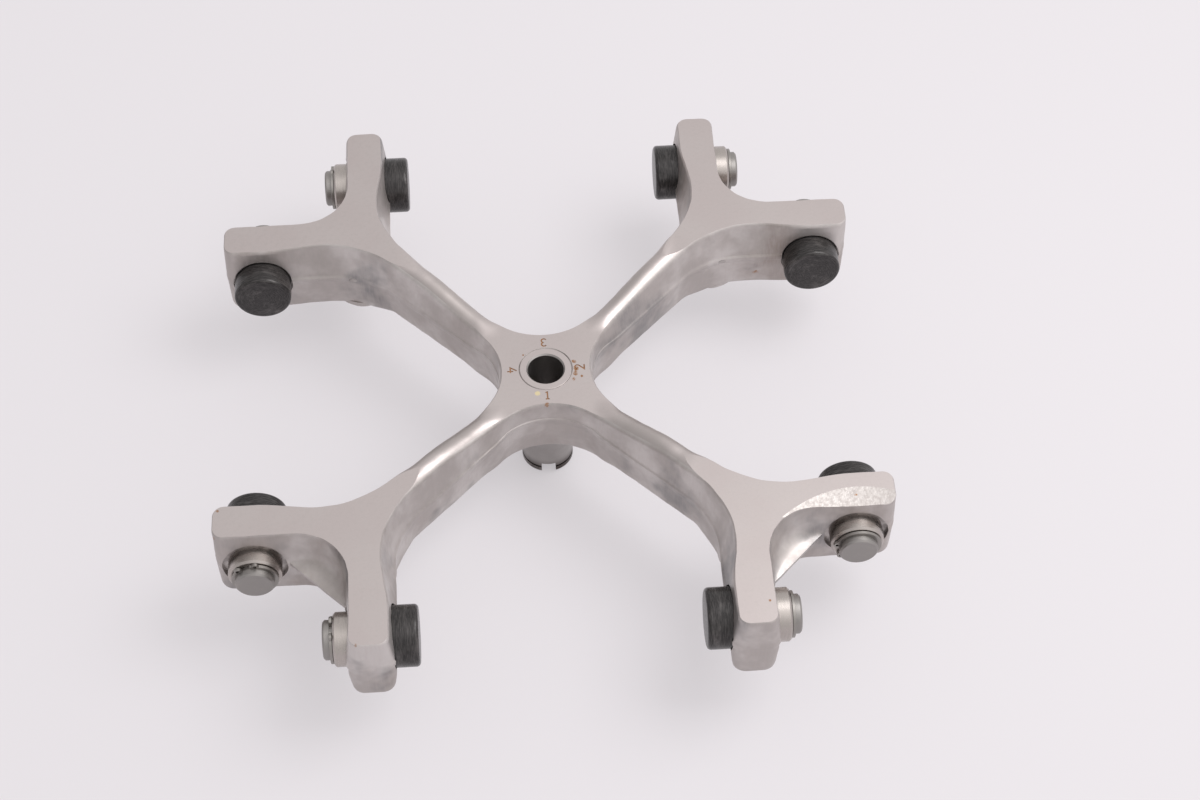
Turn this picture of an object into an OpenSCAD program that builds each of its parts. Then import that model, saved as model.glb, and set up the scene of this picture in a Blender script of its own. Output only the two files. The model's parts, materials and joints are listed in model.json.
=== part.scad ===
// Swing-out rotor: a forged four-arm yoke on a drive tube, with eight trunnion pins
// that carry four swinging buckets. Millimetres, +Z up. The origin is the middle of
// the drive tube's foot, on the spin axis. Bay 1 faces -Y, 2 faces +X, 3 faces +Y, 4 faces -X.

/* [Rotor layout] */
// Distance from the spin axis to the axis of every trunnion pin
pin_radius = 118; // [114:0.5:122]
// Clear gap between the two pin heads that face each other across a bay
bay_gap = 109; // [104:0.5:114]
// Distance from a pin's axis to the flat end of its prong
tip_wall = 15; // [14:0.5:20]
// How far the straight edge of a web stands out from the curve between its prongs
web_depth = 9.5; // [6:0.5:11]

/* [Yoke heights] */
// Height of a prong
prong_height = 36.4; // [33:0.2:40]
// How far the machined fork pads stand above the machined hub pad
fork_rise = 6.9; // [4:0.1:9]
// Depth of the parting plane below the fork pads
parting_depth = 17; // [15:0.5:19]
// Depth of the pin axes below the fork pads
pin_depth = 18.2; // [16:0.2:20]
// How far the underside of an arm arches up between hub and fork
arm_arch = 2; // [0:0.5:4]
// How far the cast top of an arm is crowned
arm_crown = 1.2; // [0.4:0.1:2]
// How far the highest part of an arm stays below the machined fork pads
arm_step = 0.15; // [0.05:0.05:0.5]
// How much the machining takes off the cast tops of the forks and the hub
facing_stock = 1; // [0.5:0.1:1.5]
// How far the hub's underside hangs below that of the forks
hub_drop = 0.6; // [0:0.1:2]
// Depth of the crease in the hub's wall below the parting land
hub_crease = 6.4; // [4:0.2:9]

/* [Yoke plan] */
// Thickness of a prong at its top pad, on the bay side of its middle
prong_bay_half = 7.8; // [7:0.1:9]
// Thickness of a prong at its top pad, on the fork side of its middle
prong_fork_half = 7.5; // [7:0.1:9]
// Half width of an arm between its top edges
arm_half = 4.9; // [4:0.1:6.5]
// Distance from the spin axis to the edge of the hub pad between two arms
hub_pad = 18.4; // [17:0.1:20]
// Radius of the curve from an arm into a prong, on the bay side
bay_curve = 33; // [26:1:38]
// Radius of the curve between the two prongs of a fork
fork_curve = 21; // [17:0.5:23]
// Radius of the corners at the end of a prong, in plan
tip_corner = 4.5; // [3:0.5:6]
// Radius of the lower corner at the end of a prong, from the side
tip_sweep = 4; // [2:0.5:8]
// How far the bay edge of the pad is drawn in beside the pin
waist = 2.6; // [0:0.1:3.5]

/* [Draft and edges] */
// How far a prong's wall stands out at the parting plane
prong_draft = 2.3; // [1:0.1:3]
// How far the end of a prong stands out at the parting plane
tip_draft = 0.7; // [0:0.1:1.5]
// How far an arm's wall stands out at the parting plane
arm_draft = 1.6; // [0.8:0.1:2.5]
// How far the hub's wall stands out at the parting plane
hub_draft = 0.9; // [0.5:0.1:1.5]
// How far the walls of arms and prongs draw in below the parting plane
under_draft = 1.2; // [1:0.1:3.5]
// How far the hub's wall draws in below its crease
hub_tuck = 2; // [0.5:0.1:3]
// Thickness of the parting land, which is also the edge of the web
land = 1.6; // [1:0.1:3]
// Height of the scooped fillet above and below the web
web_fillet = 7; // [4:0.5:10]
// Edge radius along the tops of the forging
top_edge = 3; // [2:0.1:3.6]
// Edge radius along the tops between two prongs
fork_edge_radius = 2.2; // [1.5:0.1:3]
// How far those edges turn before the crown begins, in degrees
shoulder_turn = 55; // [50:1:75]
// Edge radius around the underside
under_edge = 3.2; // [2:0.1:5]
// Edge radius around the hub's underside
hub_edge = 1.6; // [1:0.1:3]
// Diameter of the balance boss under each fork
boss_d = 20; // [14:0.5:22]
// Drop of the four balance bosses below the yoke, from bay 1 round to bay 4
boss_drop = [4.5, 3, 4.5, 3.5]; // [2:0.5:6]
// Distance from the spin axis to the middle of a balance boss
boss_radius = 107.8; // [104:0.2:112]

/* [Dressing] */
// Radius of the grinding wheel that relieved one pad beside its pin
wheel = 200; // [120:10:300]
// How far that relief reaches in from the pad's fork edge
relief_width = 8.2; // [2:0.2:9]
// How steeply the relief falls away, in degrees
relief_slope = 11; // [4:1:16]
// Radius of the ball that tested the hardness of the walls
test_ball = 2.6; // [1:0.1:3]
// How deep its two marks are
test_depth = 0.5; // [0.2:0.1:0.8]
// Height of the marks above the drive tube's foot
test_height = 46.5; // [42:0.5:50]
// Distance of the marks from the plane that halves the rotor between them
test_place = 80; // [76:0.5:90]

/* [Trunnion pins] */
// Diameter of a pin's head, which a bucket hangs on
head_d = 24; // [22:0.5:25]
// Length of a pin's head
head_length = 10.6; // [9:0.1:12]
// Edge radius of a pin's head
head_edge = 1.6; // [0.5:0.1:2.5]
// Diameter of a pin's shank
shank_d = 15.4; // [13:0.1:16.5]
// Length of shank that stands out beyond its bush
shank_proud = 4.1; // [3.4:0.1:5]
// Radial running clearance of a shank in its bush
running_fit = 0.05; // [0.02:0.01:0.1]
// End play of a pin at its head, and again at its ring
end_play = 0.2; // [0.1:0.05:0.3]

/* [Bushes and rings] */
// Outer diameter of a bush
bush_d = 21; // [20:0.2:22]
// Distance from a prong's middle to the outer end of its bush
bush_end = 14; // [12:0.2:15]
// Chamfer at the outer end of a bush
bush_chamfer = 0.8; // [0.3:0.1:1.2]
// Radial clearance of a bush in its bore
seat_fit = 0.02; // [0.01:0.01:0.05]
// Distance from a prong's middle to the spotface behind a pin's head
bay_seat = 8; // [7.4:0.1:8.6]
// Distance from a prong's middle to the counterbore floor around a bush
fork_seat = 7; // [6.6:0.1:8]
// Diameter of the spotface behind a pin's head
spotface_d = 28; // [26:0.5:29]
// Diameter of the counterbore around a bush
counterbore_d = 25.6; // [24:0.2:27]
// Thickness of a retaining ring
ring_thickness = 1.2; // [0.8:0.1:1.5]
// Radial width of a retaining ring outside the shank
ring_width = 1.6; // [1.2:0.1:2]
// Depth of the ring's groove in the shank
groove_depth = 0.6; // [0.4:0.1:0.9]
// Clearance of a ring in its groove
groove_fit = 0.03; // [0.01:0.01:0.06]

/* [Drive tube] */
// Height of the hub pad above the tube's foot
tube_length = 57.3; // [52:0.5:62]
// Outer diameter of the tube
tube_d = 21.6; // [20:0.2:23]
// Bore of the tube, which slides over the drive shaft
tube_bore = 14.8; // [13:0.1:16]
// Width of the two drive slots in the foot
slot_w = 6; // [4:0.5:7]
// Height of the two drive slots
slot_h = 6; // [4:0.5:8]
// Chamfer at the foot of the tube
tube_chamfer = 1.1; // [0.5:0.1:1.5]
// Outer chamfer at the tube's top
top_chamfer = 0.4; // [0.2:0.1:1]
// Chamfer of the bore at the tube's top
mouth_chamfer = 0.6; // [0.2:0.1:1]
// Height of the snap groove above the foot
snap_height = 3.2; // [2.5:0.1:5]
// Width of the snap groove
snap_width = 1; // [0.6:0.1:1.5]
// Depth of the snap groove
snap_depth = 0.5; // [0.2:0.1:0.8]

/* [Hidden] */
BAYS = [1, 2, 3, 4];
SIDES = ["left", "right"];

// A ring's two ears, each with an eye for the pliers
ear_turn = 26;              // degrees from the middle of the gap to an ear
ear_share = 0.85;           // radius of an ear, as a share of the ring's width
eye_share = 0.45;           // radius of its eye, as a share of the ear's

// Way that each ring's gap points, in degrees about its pin, bay by bay and left then right
ring_turns = [150, 215, 75, 20, 310, 75, 250, 340];

$fn = 96;
root2 = sqrt(2);
cut = 1;                    // how far a cutter runs past the face that it opens

// Heights
hub_top = tube_length;
fork_top = hub_top + fork_rise;
yoke_base = fork_top - prong_height;
parting_z = fork_top - parting_depth;
pin_z = fork_top - pin_depth;

// Plan of one eighth of the yoke: half an arm along 45 degrees and the prong beside bay 2
prong_mid = bay_gap / 2 + head_length + end_play + bay_seat;
bay_edge = prong_mid - prong_bay_half;
fork_edge = prong_mid + prong_fork_half;
hub_curve = (hub_pad / root2 - arm_half) / (1 - 1 / root2);
hub_curve_x = hub_pad + hub_curve;
bay_curve_x = (bay_curve + arm_half) * root2 + bay_edge - bay_curve;
bay_curve_y = bay_edge - bay_curve;
fork_curve_mid = fork_edge + fork_curve;
tip_reach = pin_radius + tip_wall;
web_line = (fork_curve_mid * root2 - fork_curve + web_depth) * root2;

// Where the arm leaves the hub and meets the fork, measured along the arm
pad_share = 0.77;           // how far along the arm its top starts to rise past the fork pads
waist_share = 0.2;          // how far from the bay curve to the pin the waist is deepest
waist_reach = 0.75;         // share of that stretch over which the waist dies out
arm_start = hub_curve_x / root2;
arm_end = (bay_curve_x + bay_curve_y) / root2;
pad_start = lerp(arm_start, arm_end, pad_share);
fork_node = prong_mid * root2;
waist_mid = lerp(bay_curve_x, pin_radius, waist_share);
waist_span = waist_reach * (pin_radius - bay_curve_x);
hub_blend = 12;             // length over which the hub's form turns into an arm's
pad_blend = 14;             // length over which an arm's top rises past the fork pads
draft_blend = 10;           // length over which an arm's wall turns into a prong's
arch_blend = 20;            // length over which the arch of an arm dies out under a fork
under_curve = 1.6;          // power by which the walls draw in below the parting plane
tip_least = 0.4;            // smallest radius left at a prong's corners, in plan
along_arm = 45;             // direction of the arm, in degrees
meets_arm = 90 + along_arm; // where a curve's arc meets the arm's straight side
meets_prong = 112.5;        // where the bay curve's arc goes on in steps of x, along the prong

// Steps along each stretch of the outline
HUB_STEPS = 5;
ARM_STEPS = 5;
BEND_STEPS = 4;
CURVE_STEPS = 6;            // along a prong, beside the fork curve
REACH_STEPS = 3;            // along a prong, beyond the fork curve
TIP_STEPS = 3;
PRONG_STEPS = CURVE_STEPS + REACH_STEPS;

// Levels of the loft: [way along the wall, way round the edge, way in to the middle]
UPPER = [
    for (up = [0, 0.04, 0.1, 0.2, 0.35, 1]) [up, 0, 0],
    [1, 0.5, 0], [1, 1, 0], [1, 1, 0.5], [1, 1, 1],
];
LOWER = [
    [1, 1, 1], [1, 1, 0], [1, 0.5, 0],
    for (down = [1, 0.65, 0.36, 0.2, 0.1, 0.04, 0]) [down, 0, 0],
];

function lerp(a, b, t) = a + (b - a) * t;
function smooth(t) = let (s = min(1, max(0, t))) s * s * (3 - 2 * s);
function unit(a) = [cos(a), sin(a)];

// Points of an arc, each with the direction that faces out of the metal
function arc(mid, r, a0, a1, steps, facing) = [
    for (i = [0:steps]) let (u = unit(lerp(a0, a1, i / steps))) [mid + r * u, facing * u]
];

// Stations along a prong's middle, from the fork node to near the tip
STATIONS = concat(
    [for (i = [0:CURVE_STEPS]) lerp(prong_mid, fork_curve_mid, i / CURVE_STEPS)],
    [for (i = [1:REACH_STEPS]) lerp(fork_curve_mid, tip_reach - prong_fork_half, i / REACH_STEPS)]);

HUB = arc([hub_curve_x, 0], hub_curve, 180, meets_arm, HUB_STEPS, -1);
BEND = arc([bay_curve_x, bay_curve_y], bay_curve, meets_arm, meets_prong, BEND_STEPS, -1);
FORK = arc([fork_curve_mid, fork_curve_mid], fork_curve, 180 + along_arm, 270, CURVE_STEPS, -1);

// Point of the prong's bay edge at x, with its outward direction
function bay_point(x) = let (dx = max(0, bay_curve_x - x), dy = sqrt(bay_curve * bay_curve - dx * dx))
    [[x, bay_curve_y + dy], [dx, -dy] / bay_curve];

// Outline of one eighth at the top edge: half the hub, half an arm and one prong
EIGHTH = concat(
    HUB,
    [for (i = [1:ARM_STEPS - 1])
        [lerp(HUB[HUB_STEPS][0], BEND[0][0], i / ARM_STEPS), BEND[0][1]]],
    BEND,
    [for (i = [1:PRONG_STEPS]) bay_point(i < CURVE_STEPS
        ? lerp(BEND[BEND_STEPS][0][0], fork_curve_mid, i / CURVE_STEPS) : STATIONS[i])],
    arc([tip_reach - tip_corner, bay_edge + tip_corner], tip_corner, -90, 0, TIP_STEPS, 1),
    arc([tip_reach - tip_corner, fork_edge - tip_corner], tip_corner, 0, 90, TIP_STEPS, 1),
    [for (i = [PRONG_STEPS:-1:0])
        i > CURVE_STEPS ? [[STATIONS[i], fork_edge], [0, 1]] : FORK[i]]);

// The middle line that each point of the outline closes to
SPINE = concat(
    [for (i = [0:HUB_STEPS]) [1, 1] * arm_start * i / HUB_STEPS / root2],
    [for (i = [1:ARM_STEPS - 1]) [1, 1] * lerp(arm_start, arm_end, i / ARM_STEPS) / root2],
    [for (i = [0:BEND_STEPS]) [1, 1] * lerp(arm_end, fork_node, i / BEND_STEPS) / root2],
    [for (i = [1:PRONG_STEPS]) [STATIONS[i], prong_mid]],
    [for (i = [0:2 * TIP_STEPS + 1]) [STATIONS[PRONG_STEPS], prong_mid]],
    [for (i = [PRONG_STEPS:-1:0]) [STATIONS[i], prong_mid]]);

COUNT = len(EIGHTH);
BACK = COUNT - 1 - PRONG_STEPS;     // first point of the fork side
TIP = BACK - 2 * TIP_STEPS - 2;     // first point of the tip

// The straight edge of the web, as targets for the points of the fork curve
function web_point(i, stand) = let (step = COUNT - 1 - i, end = fork_edge + stand)
    lerp([1, 1] * web_line / 2, [web_line - end, end], step / CURVE_STEPS);
function webbed(i) = COUNT - 1 - i <= CURVE_STEPS;

// Along the outline: distance along the arm, shares of hub and fork, and the local sizes
ALONG = [for (p = SPINE) min(fork_node, norm(p))];
HUB_SHARE = [for (t = ALONG) 1 - smooth((t - arm_start) / hub_blend + 0.5)];
FORK_SHARE = [for (t = ALONG) smooth((t - pad_start) / pad_blend)];
RADIUS = [for (i = [0:COUNT - 1]) i >= BACK ? fork_edge_radius : top_edge];
TURN = [for (hub = HUB_SHARE) lerp(shoulder_turn, asin(1 - facing_stock / top_edge), hub)];
// How far the cast wall stands out where its edge begins, so that the machined edge is true
EASE = [for (i = [0:COUNT - 1]) let (r = RADIUS[i], faced = r - facing_stock)
    (r - sqrt(r * r - faced * faced)) * FORK_SHARE[i]
        + r * (1 - cos(TURN[i])) * HUB_SHARE[i]];
ARM_RIM = [for (t = ALONG) lerp(hub_top, fork_top - arm_crown - arm_step,
    smooth((t - arm_start) / (pad_start - arm_start)))];
// Heights where the edge ends, and of the middle line that the top closes to
RIM = [for (i = [0:COUNT - 1]) lerp(ARM_RIM[i],
    fork_top + facing_stock - RADIUS[i] * (1 - sin(TURN[i])), FORK_SHARE[i])];
RIDGE = [for (i = [0:COUNT - 1]) lerp(ARM_RIM[i] + arm_crown * (1 - HUB_SHARE[i]),
    fork_top + facing_stock + arm_crown, FORK_SHARE[i])];
BASE = [for (i = [0:COUNT - 1]) let (t = ALONG[i]) yoke_base - hub_drop * HUB_SHARE[i]
    + arm_arch * smooth((t - arm_start) / hub_blend) * smooth((fork_node - t) / arch_blend)];
STAND = [for (i = [0:COUNT - 1]) lerp(
    lerp(arm_draft, prong_draft, smooth((ALONG[i] - arm_end) / draft_blend)),
    hub_draft, HUB_SHARE[i])];
FLOOR_EDGE = [for (hub = HUB_SHARE) lerp(under_edge, hub_edge, hub)];
WAIST = [for (i = [0:COUNT - 1]) let (x = EIGHTH[i][0][0])
    i >= TIP ? 0 : waist * smooth(1 - abs(x - waist_mid) / waist_span)];

// Share of the web at a height above or below the land: a quarter ellipse
function scoop(height) = let (left = max(0, 1 - height / web_fillet)) 1 - sqrt(1 - left * left);

// A point of one level, moved out by off, with the tip swept back below
function plan(i, off, web, draw, sweep, inward) = let (
    stretch = tip_reach - fork_curve_mid,
    at_tip = i >= TIP && i < BACK,
    limit = at_tip ? max(off, tip_least - tip_corner) : off,
    ahead = at_tip && off > 0 ? tip_draft / prong_draft : 1,
    n = EIGHTH[i][1],
    wall = EIGHTH[i][0] + [n[0] * ahead, n[1]] * limit + [0, WAIST[i] * draw],
    p = webbed(i) ? lerp(wall, web_point(i, STAND[i]), web) : wall,
    q = lerp(p, SPINE[i], inward))
    [q[0] - sweep * max(0, (q[0] - fork_curve_mid) / stretch), q[1]];

function upper(level) = [for (i = [0:COUNT - 1]) let (
    up = level[0], turn = level[1] * TURN[i], inward = level[2], r = RADIUS[i],
    foot = parting_z + land / 2,
    wall = lerp(foot, RIM[i] - r * sin(TURN[i]), up),
    off = lerp(STAND[i], EASE[i], up) - r * (1 - cos(turn)),
    p = plan(i, off, scoop(wall - foot), up, 0, inward))
    [p[0], p[1], wall + r * sin(turn) + (RIDGE[i] - RIM[i]) * (1 - pow(1 - inward, 2))]];

function lower(level) = [for (i = [0:COUNT - 1]) let (
    down = level[0], turn = 90 * level[1], r = FLOOR_EDGE[i],
    foot = parting_z - land / 2,
    wall = lerp(foot, BASE[i] + r, down),
    z = wall - r * sin(turn),
    below_crease = max(0, foot - wall - hub_crease) / (foot - BASE[i] - r - hub_crease),
    tuck = lerp(under_draft * pow(down, under_curve), hub_tuck * below_crease, HUB_SHARE[i]),
    dip = min(tip_sweep, max(0, yoke_base + tip_sweep - z)),
    sweep = tip_sweep - sqrt(tip_sweep * tip_sweep - dip * dip),
    p = plan(i, STAND[i] - tuck - r * (1 - cos(turn)), scoop(foot - wall), down / 2,
        sweep, level[2]))
    [p[0], p[1], z]];

// The whole ring of one level: the eighth, its mirror image, and both three times more
function swap(p) = [p[1], p[0], p[2]];
function quarter(p, k) =
    k == 0 ? p : k == 1 ? [-p[1], p[0], p[2]] : k == 2 ? [-p[0], -p[1], p[2]] : [p[1], -p[0], p[2]];
function ring(points) = [for (k = [0:3]) each concat(
    [for (i = [0:COUNT - 2]) quarter(points[i], k)],
    [for (i = [COUNT - 1:-1:1]) quarter(swap(points[i]), k)])];

module forging() {
    rings = concat([for (l = LOWER) ring(lower(l))], [for (l = UPPER) ring(upper(l))]);
    size = len(rings[0]);
    points = [for (r = rings) each r];
    triangles = [for (j = [0:len(rings) - 2], i = [0:size - 1]) let (
        next = (i + 1) % size,
        a = j * size + i, b = j * size + next, c = b + size, d = a + size)
        each [[a, d, c], [a, c, b]]];
    polyhedron(points, [for (t = triangles)
        if (points[t[0]] != points[t[1]] && points[t[1]] != points[t[2]]
            && points[t[0]] != points[t[2]]) t]);
}

// Places a child at the trunnion of one bay and side: +Z runs from the fork into the bay
module at_trunnion(bay, side) {
    way = side == "left" ? -1 : 1;
    rotate(90 * (bay - 1))
        translate([way * prong_mid, -pin_radius, pin_z])
            rotate([0, -90 * way, 0])
                children();
}

module each_trunnion() {
    for (bay = BAYS, side = SIDES)
        at_trunnion(bay, side)
            children();
}

// A boss under a fork, with a rounded end and a hollow fillet up to the forging
module balance_boss(drop) {
    round = drop / 2;
    reach = boss_d / 2;
    embed = 2;                  // how far the boss goes up into the forging
    rotate_extrude()
        difference() {
            union() {
                translate([0, -drop])
                    square([reach, drop + embed]);
                square([reach + round, embed]);
                translate([reach, -round])
                    square(round);
            }
            translate([reach + round, -round])
                circle(round);
            translate([reach - round, -drop])
                difference() {
                    translate([0, -cut])
                        square([round + cut, round + cut]);
                    translate([0, round])
                        circle(round);
                }
        }
}

// What the grinding wheel took off the fork side of bay 2's left prong
module ground_relief() {
    translate([pin_radius, relief_width - fork_edge, fork_top])
        rotate([90 + relief_slope, 0, 0])
            translate([0, wheel, -cut])
                cylinder(r = wheel, h = relief_width + prong_draft + 3 * cut, $fn = 720);
}

// The marks of the hardness test, on the two walls at the back that face the front
module test_marks() {
    wall = bay_point(test_place)[0][1] - prong_draft;
    for (x = [-test_place, test_place])
        translate([x, wall - test_ball + test_depth, test_height])
            sphere(test_ball);
}

module yoke() {
    reach = tip_reach + prong_draft;
    color([0.74, 0.71, 0.70])
        difference() {
            union() {
                forging();
                for (k = BAYS)
                    rotate(90 * k - 45)
                        translate([boss_radius, 0, yoke_base])
                            balance_boss(boss_drop[k - 1]);
            }
            translate([-reach, -reach, fork_top])
                cube([2 * reach, 2 * reach, prong_height]);
            each_trunnion() {
                translate([0, 0, -prong_height])
                    cylinder(r = bush_d / 2 + seat_fit, h = 2 * prong_height);
            }
            each_trunnion()
                translate([0, 0, bay_seat])
                    cylinder(d = spotface_d, h = head_length);
            each_trunnion()
                translate([0, 0, -bush_end - cut])
                    cylinder(d = counterbore_d, h = bush_end - fork_seat + cut);
            cylinder(r = tube_d / 2 + seat_fit, h = fork_top + cut);
            ground_relief();
            test_marks();
        }
}

module drive_tube() {
    color([0.62, 0.60, 0.58])
        difference() {
            rotate_extrude()
                difference() {
                    polygon([
                        [0, 0], [tube_d / 2 - tube_chamfer, 0], [tube_d / 2, tube_chamfer],
                        [tube_d / 2, tube_length - top_chamfer],
                        [tube_d / 2 - top_chamfer, tube_length], [0, tube_length],
                    ]);
                    translate([tube_d / 2 - snap_depth, snap_height])
                        square([snap_depth + cut, snap_width]);
                }
            translate([0, 0, -cut])
                cylinder(d = tube_bore, h = tube_length + 2 * cut);
            translate([0, 0, tube_length - mouth_chamfer])
                cylinder(r1 = tube_bore / 2, r2 = tube_bore / 2 + 2 * mouth_chamfer,
                    h = 2 * mouth_chamfer);
            translate([-slot_w / 2, -tube_d, -cut])
                cube([slot_w, 2 * tube_d, slot_h + cut]);
        }
}

// A trunnion pin about its own axis: the head lies in the bay, the shank runs back
module trunnion_pin() {
    head_from = bay_seat + end_play;
    head_to = head_from + head_length;
    r = head_d / 2;
    tail = bush_end + shank_proud;
    groove = bush_end + end_play - groove_fit;
    color([0.22, 0.21, 0.21])
        difference() {
            rotate_extrude() {
                polygon([
                    [0, -tail], [shank_d / 2 - groove_depth, -tail],
                    [shank_d / 2, groove_depth - tail], [shank_d / 2, head_from],
                    [r, head_from], [r, head_to - head_edge], [r - head_edge, head_to],
                    [0, head_to],
                ]);
                translate([r - head_edge, head_to - head_edge])
                    circle(head_edge);
            }
            translate([0, 0, -groove - ring_thickness - 2 * groove_fit])
                difference() {
                    cylinder(d = shank_d + cut, h = ring_thickness + 2 * groove_fit);
                    translate([0, 0, -cut])
                        cylinder(r = shank_d / 2 - groove_depth, h = ring_thickness + 3 * cut);
                }
        }
}

module bush() {
    color([0.80, 0.78, 0.74])
        rotate_extrude()
            polygon([
                [shank_d / 2 + running_fit, -bush_end], [bush_d / 2 - bush_chamfer, -bush_end],
                [bush_d / 2, bush_chamfer - bush_end], [bush_d / 2, bay_seat],
                [shank_d / 2 + running_fit, bay_seat],
            ]);
}

// An external retaining ring: an open ring with an eared end on each side of its gap
module retaining_ring(turn) {
    inner = shank_d / 2 - groove_depth + groove_fit;
    outer = shank_d / 2 + ring_width;
    ear = ring_width * ear_share;
    place = outer - ear / 2;
    color([0.70, 0.68, 0.64])
        translate([0, 0, -bush_end - end_play - ring_thickness])
            rotate(turn)
                linear_extrude(ring_thickness)
                    difference() {
                        union() {
                            circle(outer);
                            for (a = [-ear_turn, ear_turn])
                                rotate(a)
                                    translate([place, 0])
                                        circle(ear);
                        }
                        circle(inner);
                        polygon([[0, 0], 2 * outer * unit(-ear_turn / 2), 2 * outer * unit(ear_turn / 2)]);
                        for (a = [-ear_turn, ear_turn])
                            rotate(a)
                                translate([place, 0])
                                    circle(ear * eye_share);
                    }
}

yoke();
drive_tube();
for (bay = BAYS, side = SIDES) {
    at_trunnion(bay, side)
            trunnion_pin();
    at_trunnion(bay, side)
            bush();
    at_trunnion(bay, side)
            retaining_ring(ring_turns[2 * (bay - 1) + (side == "left" ? 0 : 1)]);
}
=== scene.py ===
"""Swing-out rotor: builds the forged yoke, its drive tube, pins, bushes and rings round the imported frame."""

import contextlib
import json
import math

import bmesh
import bpy
import numpy as np
from bpy.props import FloatProperty, FloatVectorProperty, PointerProperty
from mathutils import Matrix, Vector


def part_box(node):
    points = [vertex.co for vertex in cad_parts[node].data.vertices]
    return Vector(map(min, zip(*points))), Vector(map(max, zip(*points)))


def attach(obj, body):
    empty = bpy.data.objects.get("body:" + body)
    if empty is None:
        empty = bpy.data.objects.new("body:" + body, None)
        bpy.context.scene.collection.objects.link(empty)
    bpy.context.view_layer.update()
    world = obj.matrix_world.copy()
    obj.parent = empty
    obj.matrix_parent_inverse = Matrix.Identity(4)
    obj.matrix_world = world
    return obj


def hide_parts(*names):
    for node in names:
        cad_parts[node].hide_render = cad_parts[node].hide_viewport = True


bl_info = {
    "name": "Swing-out Rotor",
    "version": (1, 0, 0),
    "blender": (4, 5, 0),
    "location": "View3D > Sidebar > Rotor",
    "description": "Builds a forged swing-out rotor piece by piece",
    "category": "Add Mesh",
}

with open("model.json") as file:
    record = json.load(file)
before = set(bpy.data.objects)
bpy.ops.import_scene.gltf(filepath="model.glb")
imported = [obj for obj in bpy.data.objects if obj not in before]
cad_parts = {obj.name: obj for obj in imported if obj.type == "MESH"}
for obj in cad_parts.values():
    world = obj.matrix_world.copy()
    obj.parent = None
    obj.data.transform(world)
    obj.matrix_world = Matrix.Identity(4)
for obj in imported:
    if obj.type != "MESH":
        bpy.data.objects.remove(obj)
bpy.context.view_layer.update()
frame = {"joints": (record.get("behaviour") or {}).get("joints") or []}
JOINTS = {joint["child"]: joint for joint in frame["joints"]}
CORNER_PIN = JOINTS["pin_1_left"]["pos_m"]      # the pin at the left of the front bay
MM = 0.001
PIN_DEPTH = 18.2 * MM                           # from the fork pads down to the pins' axes
YOKE_TOP = CORNER_PIN[2] + PIN_DEPTH
HUB_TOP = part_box("drive_tube")[1][2]


# Sizes and colours, as a user of the add-on would set them

def number(description, default, **kind):
    """A number of a group. The group names it after its own key."""
    return FloatProperty(name="", description=description, default=default, **kind)


def length(description, size):
    """A length, given in millimetres and kept in metres."""
    return number(description, size * MM, unit="LENGTH", subtype="DISTANCE", precision=5)


def angle(description, degrees):
    """An angle, given in degrees and kept in radians."""
    return number(description, math.radians(degrees), subtype="ANGLE")


def colour(description, default):
    """A colour in linear light."""
    return FloatVectorProperty(name="", description=description, default=default,
                               subtype="COLOR", size=3, min=0, max=1)


def named(group):
    """Names each property of a group after its key, as in "Pin radius"."""
    for key, prop in group.__annotations__.items():
        prop.keywords["name"] = key.replace("_", " ").capitalize()
    return group


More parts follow.
